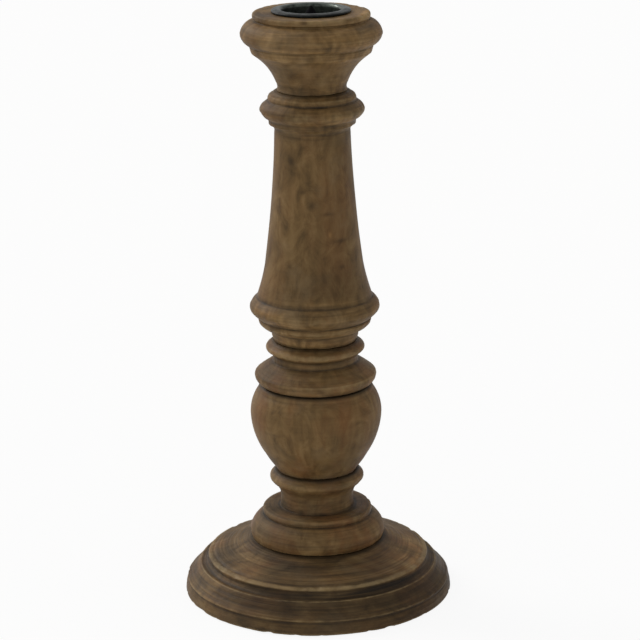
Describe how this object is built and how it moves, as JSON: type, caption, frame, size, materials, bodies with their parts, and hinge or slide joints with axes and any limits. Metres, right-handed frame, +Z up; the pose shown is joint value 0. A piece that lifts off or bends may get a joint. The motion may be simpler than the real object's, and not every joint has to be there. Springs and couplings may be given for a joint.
{
  "type": "pricket candle stand",
  "caption": "Turned wooden candle stand: broad moulded foot, bulb, tapered shaft and flared cap in stacked sections, with a metal drip cup and a spike on top.",
  "frame": {"origin": "centre of the stand's underside, on the felt that it rests on", "axes": "+Z up the turned axis towards the spike, +X to the right and -Y towards the viewer in the picture"},
  "size_m": [0.1812, 0.1812, 0.4008],
  "materials": {
    "waxed_wood": "grey-brown stain under dull wax, paler on the worn edges",
    "cup_metal": "tarnished grey-green pressed sheet, dull",
    "spike_steel": "darkened bare steel",
    "zinc_hardware": "dull zinc plate",
    "felt": "short dense felt"
  },
  "bodies": {
    "root": {"foot": "waxed_wood", "plinth": "waxed_wood", "bulb": "waxed_wood", "middle_collar": "waxed_wood", "shaft": "waxed_wood", "cap": "waxed_wood", "drip_cup": "cup_metal", "spike": "spike_steel", "spike_washer": "zinc_hardware", "tie_rod": "zinc_hardware", "foot_washer": "zinc_hardware", "lock_washer": "zinc_hardware", "foot_nut": "zinc_hardware", "felt_disc": "felt"}
  },
  "joints": []
}
